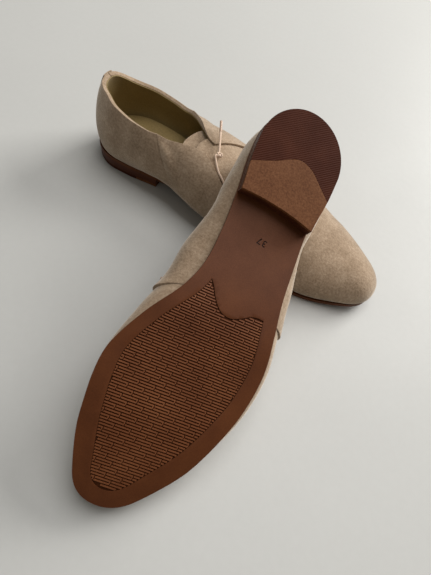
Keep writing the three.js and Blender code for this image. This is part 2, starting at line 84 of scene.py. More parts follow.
class Foot(Enum):
    """Which shoe of the pair a piece belongs to."""

    LEFT = "left"
    RIGHT = "right"


# ---- the shape of one shoe, in millimetres: +X towards the toe, +Y to the lateral side, +Z up ----
SHOE_LENGTH = 264.0
HEEL_WIDTH = 57.2
WAIST_WIDTH = 52.0
BALL_WIDTH = 85.8
TOE_WIDTH = 56.0
HEEL_ROUND = 30.0
TOE_ROUND = 45.0
OUTSOLE_THICKNESS = 3.0
LIFT_THICKNESS = 2.9
TOP_PIECE_THICKNESS = 2.6
TOE_SPRING = 7.0
HEEL_LENGTH = 68.0
BREAST_HOLLOW = 2.0
BACK_HEIGHT = 62.5
MEDIAL_TOPLINE = 51.5
LATERAL_TOPLINE = 40.5
INSTEP_HEIGHT = 49.5
TOE_HEIGHT = 23.5
KINK_AT = 62.0
THROAT_AT = 103.0
LINING_THICKNESS = 0.8
STIFFENER_THICKNESS = 0.9
UPPER_THICKNESS = 1.4
BOARD_THICKNESS = 1.6
SOCK_THICKNESS = 1.0
CORK_THICKNESS = 1.5
HEEL_PAD_THICKNESS = 2.0
LACE_DIAMETER = 1.6
GAP = 0.3
LAYER_GAP = 0.6
HEEL_REST_AT = 20.0
LINING_INSET = 4.6
THROAT_RISE = 0.93
STIFF_HEEL = (58.0, 74.0)  # where the heel counter thins out
SURFACE_STEP = 0.004  # along and up the last, to find which way its surface faces
TOE_SQUARENESS = 2.2  # 2 is an ellipse, more is squarer
RIGHT_PLACE = Vector((164.43, 15.15, 110.9))
RIGHT_AXIS = Vector((0.7408, -0.6362, -0.2157)).normalized()
RIGHT_ANGLE = 3.1833


def mix(start: float, end: float, part: float) -> float:
    """Return the value a part of the way from start to end."""
    return start + (end - start) * part


def ease(value: float, low: float, high: float) -> float:
    """Return 0 below low, 1 above high and a smooth rise between them."""
    part = min(1.0, max(0.0, (value - low) / (high - low)))
    return part * part * (3 - 2 * part)


def through(points: Sequence[tuple[float, float]]) -> Profile:
    """Make a smooth line through points; beyond its ends it keeps the end values.

    Args:
        points: (place, value) pairs in rising order of place.

    Returns:
        A function from place to value.
    """
    last = len(points) - 1
    slope = []
    for k in range(last + 1):
        before, after = points[max(k - 1, 0)], points[min(k + 1, last)]
        slope.append((after[1] - before[1]) / (after[0] - before[0]))

    def value(place: float) -> float:
        if place <= points[0][0]:
            return points[0][1]
        if place >= points[last][0]:
            return points[last][1]
        k = next(n for n in range(1, last + 1) if points[n][0] >= place)
        (x0, y0), (x1, y1) = points[k - 1], points[k]
        span = x1 - x0
        u = (place - x0) / span
        rise = y0 * (1 + 2 * u) * (1 - u) ** 2 + y1 * u * u * (3 - 2 * u)
        return rise + slope[k - 1] * span * u * (1 - u) ** 2 - slope[k] * span * u * u * (1 - u)

    return value


def share(part: float) -> float:
    """Return a share of the length of the sole."""
    return part * SHOE_LENGTH


CENTRE_LINE = through(
    [(share(a), b) for a, b in ((0, 2), (0.1, 4), (0.26, 7.7), (0.34, 10.3), (0.44, 12.2), (0.515, 12),
                                (0.606, 8.5), (0.72, 3.2), (0.852, 0.8), (1, -3.2))]
)
HALF_BREADTH = through([
    (share(place), mix(low, high, part) / 2) for low, high, spots in (
        (HEEL_WIDTH, HEEL_WIDTH, ((0, 0), (0.16, 0))),
        (WAIST_WIDTH, BALL_WIDTH, ((0.26, 0), (0.39, 0), (0.45, 0.07), (0.515, 0.31), (0.606, 0.79), (0.7, 1))),
        (TOE_WIDTH, BALL_WIDTH, ((0.77, 0.84), (0.852, 0.44), (0.94, 0), (1, 0))),
    ) for place, part in spots])
RIDGE_LINE = through([(28, 3), (62, 0), (103, -2), (140, -1), (185, 2), (236, -1.5)])
RIDGE_HEIGHT = through([
    (28, BACK_HEIGHT + 11.5), (48, mix(INSTEP_HEIGHT, BACK_HEIGHT, 0.88)), (KINK_AT, INSTEP_HEIGHT + 6),
    (76, INSTEP_HEIGHT + 1), (THROAT_AT, INSTEP_HEIGHT), (share(0.49), INSTEP_HEIGHT - 3.5),
    (share(0.57), INSTEP_HEIGHT - 8), (share(0.66), mix(TOE_HEIGHT, INSTEP_HEIGHT, 0.46)),
    (share(0.76), mix(TOE_HEIGHT, INSTEP_HEIGHT, 0.22)), (share(0.835), mix(TOE_HEIGHT, INSTEP_HEIGHT, 0.07)),
    (share(0.9), TOE_HEIGHT),
])
FOREPART_FULLNESS = [(THROAT_AT, 2.4), (share(0.6), 2.15), (share(1), 2.1)]
FULLNESS = {
    Side.MEDIAL: through([(0, 2.8), (14, 2.5), (28, 3.2), (45, 3.6), (KINK_AT, 3.2), *FOREPART_FULLNESS]),
    Side.LATERAL: through([(0, 2.8), (14, 2.15), (28, 2.4), (45, 2.8), (KINK_AT, 2.8), *FOREPART_FULLNESS]),
}
OVERHANG = {
    Side.MEDIAL: through([(0, 2.5), (40, 4), (70, 10), (110, 17), (140, 12), (165, 6), (185, 3), (230, 2)]),
    Side.LATERAL: through([(0, 2.5), (12, 6), (30, 8), (60, 8), (100, 10.8), (140, 10.5), (185, 9.3), (205, 8.2),
                           (222, 5.3), (240, 4), (share(1), 2)]),
}
WIDEST_RISE = 0.35
TOPLINE = {
    Side.MEDIAL: through([(0, BACK_HEIGHT), (12, BACK_HEIGHT - 1), (25, mix(MEDIAL_TOPLINE, BACK_HEIGHT, 0.75)),
                          (42, mix(MEDIAL_TOPLINE, BACK_HEIGHT, 0.38)), (KINK_AT, MEDIAL_TOPLINE)]),
    Side.LATERAL: through([(place, mix(LATERAL_TOPLINE, BACK_HEIGHT, part)) for place, part in
                           ((0, 1), (6, 0.66), (12, 0.43), (25, 0.2), (42, 0.05), (KINK_AT, 0))]),
}
QUARTER_SEAM = through([(0, 92), (1, KINK_AT)])
FACING_FRONT = {
    Side.MEDIAL: through([(0, 137), (0.25, 147), (0.42, 146), (0.62, 136), (0.82, 120), (1, THROAT_AT)]),
    Side.LATERAL: through([(0, 130), (0.25, 136), (0.42, 134), (0.62, 125), (0.82, 112), (1, THROAT_AT)]),
}
HEEL_STACK = TOP_PIECE_THICKNESS + 2 * LIFT_THICKNESS + 3 * GAP
FAN_HEEL, FAN_TOE = 60.0, share(0.76)
SPINE_HEEL, SPINE_TOE = 28.0, SHOE_LENGTH - 28
LEVEL_RISE = 0.2


def side_of(across: float) -> Side:
    """Return the side a signed place across the shoe lies on."""
    return Side.MEDIAL if across < 0 else Side.LATERAL


def end_round(x: float) -> float:
    """Return how much of the full breadth is left near the rounded ends of the sole."""
    from_heel = max(0.0, 1 - x / HEEL_ROUND)
    from_toe = max(0.0, 1 - (SHOE_LENGTH - x) / TOE_ROUND)
    return math.sqrt(max(0.0, 1 - from_heel**2)) * max(0.0, 1 - from_toe**TOE_SQUARENESS) ** (1 / TOE_SQUARENESS)


def plan_point(x: float, across: float, inset: float) -> Vector:
    """Return a place on the sole, seen from above, inset from its edge."""
    reach = end_round(x) * (HALF_BREADTH(x) - inset)
    return Vector((inset + x * (1 - 2 * inset / SHOE_LENGTH), CENTRE_LINE(x) + across * reach, 0))


def sole_underside(x: float) -> float:
    """Return the height of the underside of the outsole."""
    waist = HEEL_STACK * (1 - ease(x, HEEL_LENGTH, share(0.58)))
    return waist + TOE_SPRING * max(0.0, (x - share(0.74)) / share(0.26)) ** 2


def feather_height(x: float) -> float:
    """Return the height of the edge where the upper meets the sole."""
    return sole_underside(x) + OUTSOLE_THICKNESS + GAP


def spine_at(x: float) -> float:
    """Return where the section of the last at x fans out from."""
    if x < FAN_HEEL:
        inside = FAN_HEEL - x
        return FAN_HEEL - inside + SPINE_HEEL / FAN_HEEL**2 * inside**2
    if x > FAN_TOE:
        inside = x - FAN_TOE
        return x - (SHOE_LENGTH - SPINE_TOE) / (SHOE_LENGTH - FAN_TOE) ** 2 * inside**2
    return x


def along_of(x: float) -> float:
    """Return the place along the shoe, 0 to 1, that stands for length x."""
    return math.acos(1 - 2 * min(SHOE_LENGTH, max(0.0, x)) / SHOE_LENGTH) / math.pi


def x_of(along: float) -> float:
    """Return the length that stands for a place along the shoe."""
    return SHOE_LENGTH * (1 - math.cos(math.pi * along)) / 2


def last_point(side: Side, along: float, rise: float) -> Vector:
    """Return a point of the inner face of the lining; rise runs 0 feather edge to 1 ridge."""
    x = x_of(along)
    foot = plan_point(x, side.value, LINING_INSET)
    spine_x = spine_at(x)
    spine = Vector((spine_x, RIDGE_LINE(spine_x), 0))
    low = feather_height(x) + GAP
    lift = math.sin(math.pi / 2 * rise)
    full = FULLNESS[side](x)
    reach = max(0.0, 1 - lift**full) ** (1 / full)
    outward = foot - spine
    wide = outward.length
    over = OVERHANG[side](x)
    tuck = over * max(0.0, 1 - lift / WIDEST_RISE) ** 2
    place = spine + outward * (((wide + over) * reach - tuck) / wide)
    place.z = mix(low, RIDGE_HEIGHT(spine_x), lift)
    return place


def layer_point(side: Side, along: float, rise: float, offset: float) -> Vector:
    """Return a point of the last pushed outwards by offset, square to its surface."""
    step = SURFACE_STEP
    here = last_point(side, along, rise)
    if along < step or along > 1 - step:
        lengthwise = Vector((0, -side.value if along > 0.5 else side.value, 0))
    else:
        lengthwise = last_point(side, along + step, rise) - last_point(side, along - step, rise)
    if rise > 1 - 1e-6:
        near, far = spine_at(x_of(max(along - step, 0))), spine_at(x_of(min(along + step, 1)))
        slope = (RIDGE_HEIGHT(far) - RIDGE_HEIGHT(near)) / max(far - near, 1e-6)
        normal = Vector((-slope, 0, 1)).normalized()
    else:
        upward = last_point(side, along, min(rise + step, 1)) - last_point(side, along, max(rise - step, 0))
        normal = (lengthwise.cross(upward) * -side.value).normalized()
    normal.z *= ease(rise, 0, LEVEL_RISE)
    return here + normal.normalized() * offset


def stiffened(x: float) -> float:
    """Return 1 where a stiffener lies between lining and upper, and 0 where there is none."""
    return max(1 - ease(x, *STIFF_HEEL), ease(x, share(0.78), share(0.84)))


def upper_inside(x: float) -> float:
    """Return how far outside the last the inner face of the upper lies."""
    return LINING_THICKNESS + LAYER_GAP + stiffened(x) * (STIFFENER_THICKNESS + LAYER_GAP)


def upper_outside(x: float) -> float:
    """Return how far outside the last the outer face of the upper lies."""
    return upper_inside(x) + UPPER_THICKNESS


def top_rise(side: Side, x: float) -> float:
    """Return the rise at which the upper ends: the topline, then the top edge of the facing."""
    at = min(x, KINK_AT)
    low = feather_height(at)
    lift = (TOPLINE[side](at) - low) / (RIDGE_HEIGHT(spine_at(at)) - low)
    rise = math.asin(min(lift, 1)) / (math.pi / 2)
    return mix(rise, THROAT_RISE, ease(x, KINK_AT - 8, THROAT_AT) ** 0.8)


def back_curve(half_wide: float) -> float:
    """Return how far forward the rounded heel is at a distance from its middle line."""
    return HEEL_ROUND / 2 * (2 * half_wide / HEEL_WIDTH) ** 2


RIGHT_TURN = Quaternion(RIGHT_AXIS, RIGHT_ANGLE)
TO_ROW = Matrix.Translation((-HEEL_REST_AT, -CENTRE_LINE(HEEL_REST_AT), 0))
SEAT = {
    Foot.LEFT: TO_ROW,
    Foot.RIGHT: (TO_ROW @ Matrix.Translation(RIGHT_PLACE) @ RIGHT_TURN.to_matrix().to_4x4()
                 @ Matrix.Diagonal((1, -1, 1, 1))),
}


# ---- mesh building ----
def add_object(name: str, data: bpy.types.ID) -> bpy.types.Object:
    """Make an object at the origin and put it in the scene."""
    made = bpy.data.objects.new(name, data)
    bpy.context.scene.collection.objects.link(made)
    return made


def add_grid(mesh: Sheet, columns: int, rows: int, place: Place) -> list[bmesh.types.BMVert]:
    """Add a grid whose square is laid over a surface.

    Args:
        mesh: The mesh to add to.
        columns: Faces along the first direction.
        rows: Faces along the second direction.
        place: The surface, from two numbers between 0 and 1.

    Returns:
        The new vertices.
    """
    made = bmesh.ops.create_grid(mesh, x_segments=columns, y_segments=rows, size=0.5)["verts"]
    for vert in made:
        vert.co = place(round(vert.co.x + 0.5, 5), round(vert.co.y + 0.5, 5))
    return made


def shell(columns: int, rows: int, outer: Place, inner: Place) -> Sheet:
    """Build a closed sheet of leather between two surfaces."""
    mesh = bmesh.new()
    for face in (outer, inner):
        bmesh.ops.remove_doubles(mesh, verts=add_grid(mesh, columns, rows, face), dist=1e-3)
    rim = [edge for edge in mesh.edges if edge.is_boundary]
    bmesh.ops.bridge_loops(mesh, edges=rim)
    bmesh.ops.recalc_face_normals(mesh, faces=mesh.faces)
    return mesh


def finish_mesh(mesh: Sheet, name: str, foot: Foot, material: bpy.types.Material,
                smooth_below: float = 35.0) -> bpy.types.Object:
    """Turn a mesh of one shoe into an object in its place.

    Args:
        mesh: The mesh in shoe millimetres; it is used up.
        name: The name of the new object, without its foot.
        foot: The shoe it belongs to.
        material: Its finish.
        smooth_below: Edges sharper than this many degrees stay sharp.

    Returns:
        The object.
    """
    own = mesh.verts.layers.float_vector.new("shoe_place")
    for vert in mesh.verts:
        vert[own] = vert.co * MILLIMETRE
    for edge in mesh.edges:
        edge.smooth = not edge.is_manifold or edge.calc_face_angle(0.0) < math.radians(smooth_below)
    for face in mesh.faces:
        face.smooth = True
    mesh.transform(SEAT[foot])
    mesh.transform(Matrix.Scale(MILLIMETRE, 4))
    if foot is Foot.RIGHT:
        bmesh.ops.reverse_faces(mesh, faces=mesh.faces)
    data = bpy.data.meshes.new(f"{foot.value}_{name}_look")
    mesh.to_mesh(data)
    mesh.free()
    data.materials.append(material)
    return add_object(data.name, data)


def round_edges(obj: bpy.types.Object, width: float, segments: int = 2) -> None:
    """Round the edges of a piece that are sharper than 38 degrees, by a width in millimetres."""
    bevel = obj.modifiers.new("round", "BEVEL")
    bevel.width = width * MILLIMETRE
    bevel.segments = segments
    bevel.limit_method = "ANGLE"
    bevel.angle_limit = math.radians(38)


def settle(obj: bpy.types.Object, body: str, slot: str, *nodes: str) -> None:
    """Tie a piece to its body and to the solids it stands for."""
    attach(obj, body)
    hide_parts(*nodes)
    LOG.info("%s: %d vertices", obj.name, len(obj.data.vertices) if obj.type == "MESH" else 0)


@dataclass
class Group:
    """Pieces of one shoe that are made together."""

    foot: Foot
    finishes: Finishes

    def named(self, name: str) -> str:
        """Return a name with the foot before it."""
        return f"{self.foot.value}_{name}"

    def piece(self, mesh: Sheet, name: str, finish: str, smooth_below: float = 35.0) -> bpy.types.Object:
        """Turn a mesh of this shoe into an object with a finish; the mesh is used up."""
        return finish_mesh(mesh, name, self.foot, self.finishes[finish], smooth_below)

    def settle(self, obj: bpy.types.Object, slot: str, *names: str, body: str = "shoe") -> None:
        """Tie a piece to this shoe's body and to the solids it stands for, all named without the foot."""
        settle(obj, self.named(body), slot, *(self.named(name) for name in names))


# ---- finishes ----
def tone(colour: Colour) -> tuple[float, float, float, float]:
    """Return a linear colour, with full cover, from display values of 0 to 255."""
    def linear(value: int) -> float:
        part = value / 255
        return part / 12.92 if part <= 0.04045 else ((part + 0.055) / 1.055) ** 2.4
    return (*(linear(value) for value in colour), 1.0)


def new_group(name: str, colours: Sequence[str], numbers: Sequence[str],
              outputs: Sequence[tuple[str, str]]) -> tuple[bpy.types.NodeTree, bpy.types.Node, bpy.types.Node]:
    """Make a shader node group with a Vector input first.

    Args:
        name: The group's name.
        colours: Names of its colour inputs.
        numbers: Names of its number inputs.
        outputs: The name and socket kind of each output.

    Returns:
        The tree, its input node and its output node.
    """
    tree = bpy.data.node_groups.new(name, "ShaderNodeTree")
    tree.interface.new_socket("Vector", in_out="INPUT", socket_type="NodeSocketVector")
    for names, kind in ((colours, "NodeSocketColor"), (numbers, "NodeSocketFloat")):
        for entry in names:
            tree.interface.new_socket(entry, in_out="INPUT", socket_type=kind)
    for entry, kind in outputs:
        tree.interface.new_socket(entry, in_out="OUTPUT", socket_type=kind)
    return tree, tree.nodes.new("NodeGroupInput"), tree.nodes.new("NodeGroupOutput")


class Mottle:
    """The shared effect that mixes three tones by broad and fine unevenness."""

    NAME = "mottle"

    @classmethod
    def group(cls) -> bpy.types.NodeTree:
        """Return the node group, made on first use."""
        if cls.NAME in bpy.data.node_groups:
            return bpy.data.node_groups[cls.NAME]
        tree, enter, leave = new_group(
            cls.NAME, ("Dark", "Middle", "Light"), ("Broad Scale", "Fine Scale", "Fine Share"),
            (("Colour", "NodeSocketColor"), ("Mask", "NodeSocketFloat")))
        nodes, links = tree.nodes, tree.links
        broad, fine = nodes.new("ShaderNodeTexNoise"), nodes.new("ShaderNodeTexNoise")
        for noise, scale, detail, roughness in ((broad, "Broad Scale", 4, 0.55), (fine, "Fine Scale", 3, 0.6)):
            noise.inputs["Detail"].default_value = detail
            noise.inputs["Roughness"].default_value = roughness
            links.new(enter.outputs["Vector"], noise.inputs["Vector"])
            links.new(enter.outputs[scale], noise.inputs["Scale"])
        blend, first, second = (nodes.new("ShaderNodeMix") for _ in range(3))
        first.data_type = second.data_type = "RGBA"
        spread, low, high = (nodes.new("ShaderNodeMapRange") for _ in range(3))
        spread.inputs["From Min"].default_value = 0.32
        spread.inputs["From Max"].default_value = 0.68
        low.inputs["From Max"].default_value = high.inputs["From Min"].default_value = 0.5
        for source, target in (
            (enter.outputs["Fine Share"], blend.inputs[0]), (broad.outputs[0], blend.inputs[2]),
            (fine.outputs[0], blend.inputs[3]), (blend.outputs[0], spread.inputs["Value"]),
            (spread.outputs[0], low.inputs["Value"]), (spread.outputs[0], high.inputs["Value"]),
            (low.outputs[0], first.inputs[0]), (enter.outputs["Dark"], first.inputs[6]),
            (enter.outputs["Middle"], first.inputs[7]), (high.outputs[0], second.inputs[0]),
            (first.outputs[2], second.inputs[6]), (enter.outputs["Light"], second.inputs[7]),
            (second.outputs[2], leave.inputs["Colour"]), (spread.outputs[0], leave.inputs["Mask"]),
        ):
            links.new(source, target)
        return tree


SHEEN_ROUGHNESS = 0.45
RIB_DEPTH = 0.18  # of the rubber's moulded ribs, in millimetres
RIB_STRENGTH = 0.9


@dataclass(frozen=True)
class Grain:
    """A surface relief: noise of a scale (per metre) and a height in millimetres."""

    scale: float
    height: float
    detail: float = 2.0
    strength: float = 1.0

    @classmethod
    def group(cls) -> bpy.types.NodeTree:
        """Return the node group that every grain shares, made on first use."""
        if "grain" in bpy.data.node_groups:
            return bpy.data.node_groups["grain"]
        tree, enter, leave = new_group("grain", (), ("Scale", "Detail"), (("Height", "NodeSocketFloat"),))
        noise = tree.nodes.new("ShaderNodeTexNoise")
        for name in ("Vector", "Scale", "Detail"):
            tree.links.new(enter.outputs[name], noise.inputs[name])
        tree.links.new(noise.outputs[0], leave.inputs["Height"])
        return tree


@dataclass(frozen=True)
class Finish:
    """One material: three tones, its gloss, its grain and, where it has them, ribs or a soft sheen."""

    name: str
    dark: Colour
    middle: Colour
    light: Colour
    roughness: float
    grains: tuple[Grain, ...]
    broad_scale: float = 30.0
    fine_scale: float = 900.0
    fine_share: float = 0.45
    metallic: float = 0.0
    specular: float = 0.5
    sheen: float = 0.0
    sheen_tint: Colour = (255, 255, 255)
    ribs: float = 0.0
    roughness_spread: float = 0.08
    in_shoe: bool = False

    def make(self) -> bpy.types.Material:
        """Build the material's nodes."""
        material = bpy.data.materials.new(self.name)
        material.use_nodes = True
        nodes, links = material.node_tree.nodes, material.node_tree.links
        shader = nodes["Principled BSDF"]
        for socket, value in (("Metallic", self.metallic), ("Specular IOR Level", self.specular),
                              ("Sheen Weight", self.sheen), ("Sheen Roughness", SHEEN_ROUGHNESS),
                              ("Sheen Tint", tone(self.sheen_tint))):
            shader.inputs[socket].default_value = value
        if self.in_shoe:
            source = nodes.new("ShaderNodeAttribute")
            source.attribute_name = "shoe_place"
            vector = source.outputs["Vector"]
        else:
            vector = nodes.new("ShaderNodeTexCoord").outputs["Object"]
        mottle = nodes.new("ShaderNodeGroup")
        mottle.node_tree = Mottle.group()
        links.new(vector, mottle.inputs["Vector"])
        for socket, value in (("Dark", tone(self.dark)), ("Middle", tone(self.middle)), ("Light", tone(self.light)),
                              ("Broad Scale", self.broad_scale), ("Fine Scale", self.fine_scale),
                              ("Fine Share", self.fine_share)):
            mottle.inputs[socket].default_value = value
        links.new(mottle.outputs["Colour"], shader.inputs["Base Color"])
        gloss = nodes.new("ShaderNodeMapRange")
        gloss.inputs["To Min"].default_value = min(1.0, self.roughness + self.roughness_spread)
        gloss.inputs["To Max"].default_value = max(0.05, self.roughness - self.roughness_spread)
        links.new(mottle.outputs["Mask"], gloss.inputs["Value"])
        links.new(gloss.outputs[0], shader.inputs["Roughness"])
        normal = None
        for grain in self.grains:
            relief = nodes.new("ShaderNodeGroup")
            relief.node_tree = Grain.group()
            relief.inputs["Scale"].default_value = grain.scale
            relief.inputs["Detail"].default_value = grain.detail
            links.new(vector, relief.inputs["Vector"])
            normal = self._bump(material.node_tree, relief.outputs["Height"], grain.height, grain.strength, normal)
        if self.ribs:
            wave = nodes.new("ShaderNodeTexWave")
            wave.bands_direction = "DIAGONAL"
            wave.inputs["Scale"].default_value = self.ribs
            links.new(vector, wave.inputs["Vector"])
            normal = self._bump(material.node_tree, wave.outputs["Fac"], RIB_DEPTH, RIB_STRENGTH, normal)
        if normal is not None:
            links.new(normal, shader.inputs["Normal"])
        return material

    @staticmethod
    def _bump(tree: bpy.types.NodeTree, height: bpy.types.NodeSocket, depth: float, strength: float,
              before: bpy.types.NodeSocket | None) -> bpy.types.NodeSocket:
        """Add one relief and return the normal after it."""
        bump = tree.nodes.new("ShaderNodeBump")
        bump.inputs["Strength"].default_value = strength
        bump.inputs["Distance"].default_value = depth * MILLIMETRE
        tree.links.new(height, bump.inputs["Height"])
        if before is not None:
            tree.links.new(before, bump.inputs["Normal"])
        return bump.outputs["Normal"]


NAP = (Grain(2300, 0.22, 2.0, 0.8), Grain(700, 0.25, 3.0, 0.6), Grain(110, 0.6, 2.0, 0.45))
FINISHES = {finish.name: finish for finish in (
    Finish("suede", (130, 109, 87), (154, 132, 109), (178, 156, 133), 0.92, NAP, broad_scale=90, fine_scale=620,
           fine_share=0.6, specular=0.12, sheen=0.75, sheen_tint=(255, 244, 230)),
    Finish("sole_leather", (74, 37, 15), (90, 49, 24), (104, 60, 32), 0.5, (Grain(2200, 0.05, 2.0, 0.6),
           Grain(500, 0.06, 3.0, 0.4)), broad_scale=28, fine_scale=1800, fine_share=0.4, specular=0.16),
    Finish("tread", (100, 55, 28), (116, 68, 39), (132, 82, 50), 0.5, (Grain(2200, 0.05, 2.0, 0.6),), broad_scale=40,
           fine_scale=1800, fine_share=0.4, specular=0.25),
    # The tread recess floor: its dark tones are painted shade between the raised bars.
    Finish("tread_floor", (58, 28, 12), (68, 35, 16), (78, 42, 21), 0.7, (Grain(1800, 0.05, 2.0, 0.6),),
           specular=0.08),
    Finish("heel_leather", (88, 50, 26), (108, 66, 36), (126, 82, 50), 0.58, (Grain(1900, 0.06, 3.0, 0.8),
           Grain(600, 0.05, 3.0, 0.5)), broad_scale=60, fine_scale=900, fine_share=0.75, specular=0.15),
    Finish("heel_edge", (62, 30, 15), (76, 38, 20), (90, 48, 26), 0.42, (Grain(900, 0.05, 2.0, 0.5),), specular=0.25),
    Finish("heel_rubber", (58, 24, 10), (68, 30, 14), (80, 38, 19), 0.6, (Grain(2500, 0.04, 2.0, 0.5),),
           broad_scale=50, fine_scale=2000, fine_share=0.5, specular=0.1, ribs=330, in_shoe=True),
    Finish("lining_leather", (120, 102, 62), (138, 118, 74), (150, 130, 86), 0.6, (Grain(1500, 0.05, 3.0, 0.6),
           Grain(120, 0.3, 2.0, 0.4)), broad_scale=25, specular=0.3, sheen=0.1),
    Finish("board", (120, 100, 76), (138, 118, 92), (152, 132, 104), 0.9, (Grain(900, 0.1),)),
    Finish("cork", (120, 84, 52), (160, 118, 78), (188, 146, 102), 0.95, (Grain(700, 0.2),), broad_scale=400),
    Finish("felt", (180, 172, 152), (196, 188, 168), (210, 202, 184), 0.95, (Grain(1500, 0.15),)),
    Finish("steel", (130, 132, 134), (152, 154, 156), (170, 172, 174), 0.35, (Grain(900, 0.02),), metallic=1.0),
    Finish("lace", (196, 168, 146), (212, 186, 164), (226, 202, 182), 0.75, (Grain(2400, 0.12, 2.0, 0.9),),
           broad_scale=120, fine_scale=3000, fine_share=0.6, sheen=0.2, specular=0.25),
    Finish("aglet", (170, 140, 118), (188, 158, 136), (204, 176, 154), 0.35, (Grain(1500, 0.03),), specular=0.5),
    Finish("mark", (34, 16, 8), (40, 19, 10), (46, 22, 12), 0.8, (Grain(1500, 0.03),), specular=0.3),
    Finish("table", (190, 190, 187), (194, 194, 191), (198, 198, 195), 0.5, (Grain(300, 0.02, 2.0, 0.2),),
           broad_scale=3, fine_scale=200, fine_share=0.2, specular=0.35),
)}


# ---- the bottom of a shoe ----
def heel_end(v: float) -> float:
    """Return where the sole begins, whatever the place across it."""
    return 0.0


def toe_end(v: float) -> float:
    """Return where the sole ends, whatever the place across it."""
    return SHOE_LENGTH


def slab(columns: int, rows: int, span: tuple[Profile, Profile], inset: float, top: Profile,
         bottom: Profile) -> Sheet:
    """Build a closed layer of the sole.

    Args:
        columns: Faces along it.
        rows: Faces across it.
        span: Where it begins and ends, for each place across.
        inset: How far its edge lies inside the edge of the sole.
        top: Height of its upper face along the sole.
        bottom: Height of its lower face along the sole.

    Returns:
        The mesh.
    """
    def place(height: Profile, u: float, v: float) -> Vector:
        x = x_of(mix(along_of(span[0](v)), along_of(span[1](v)), u))
        point = plan_point(x, 2 * v - 1, inset)
        point.z = height(point.x)
        return point
    return shell(columns, rows, partial(place, top), partial(place, bottom))


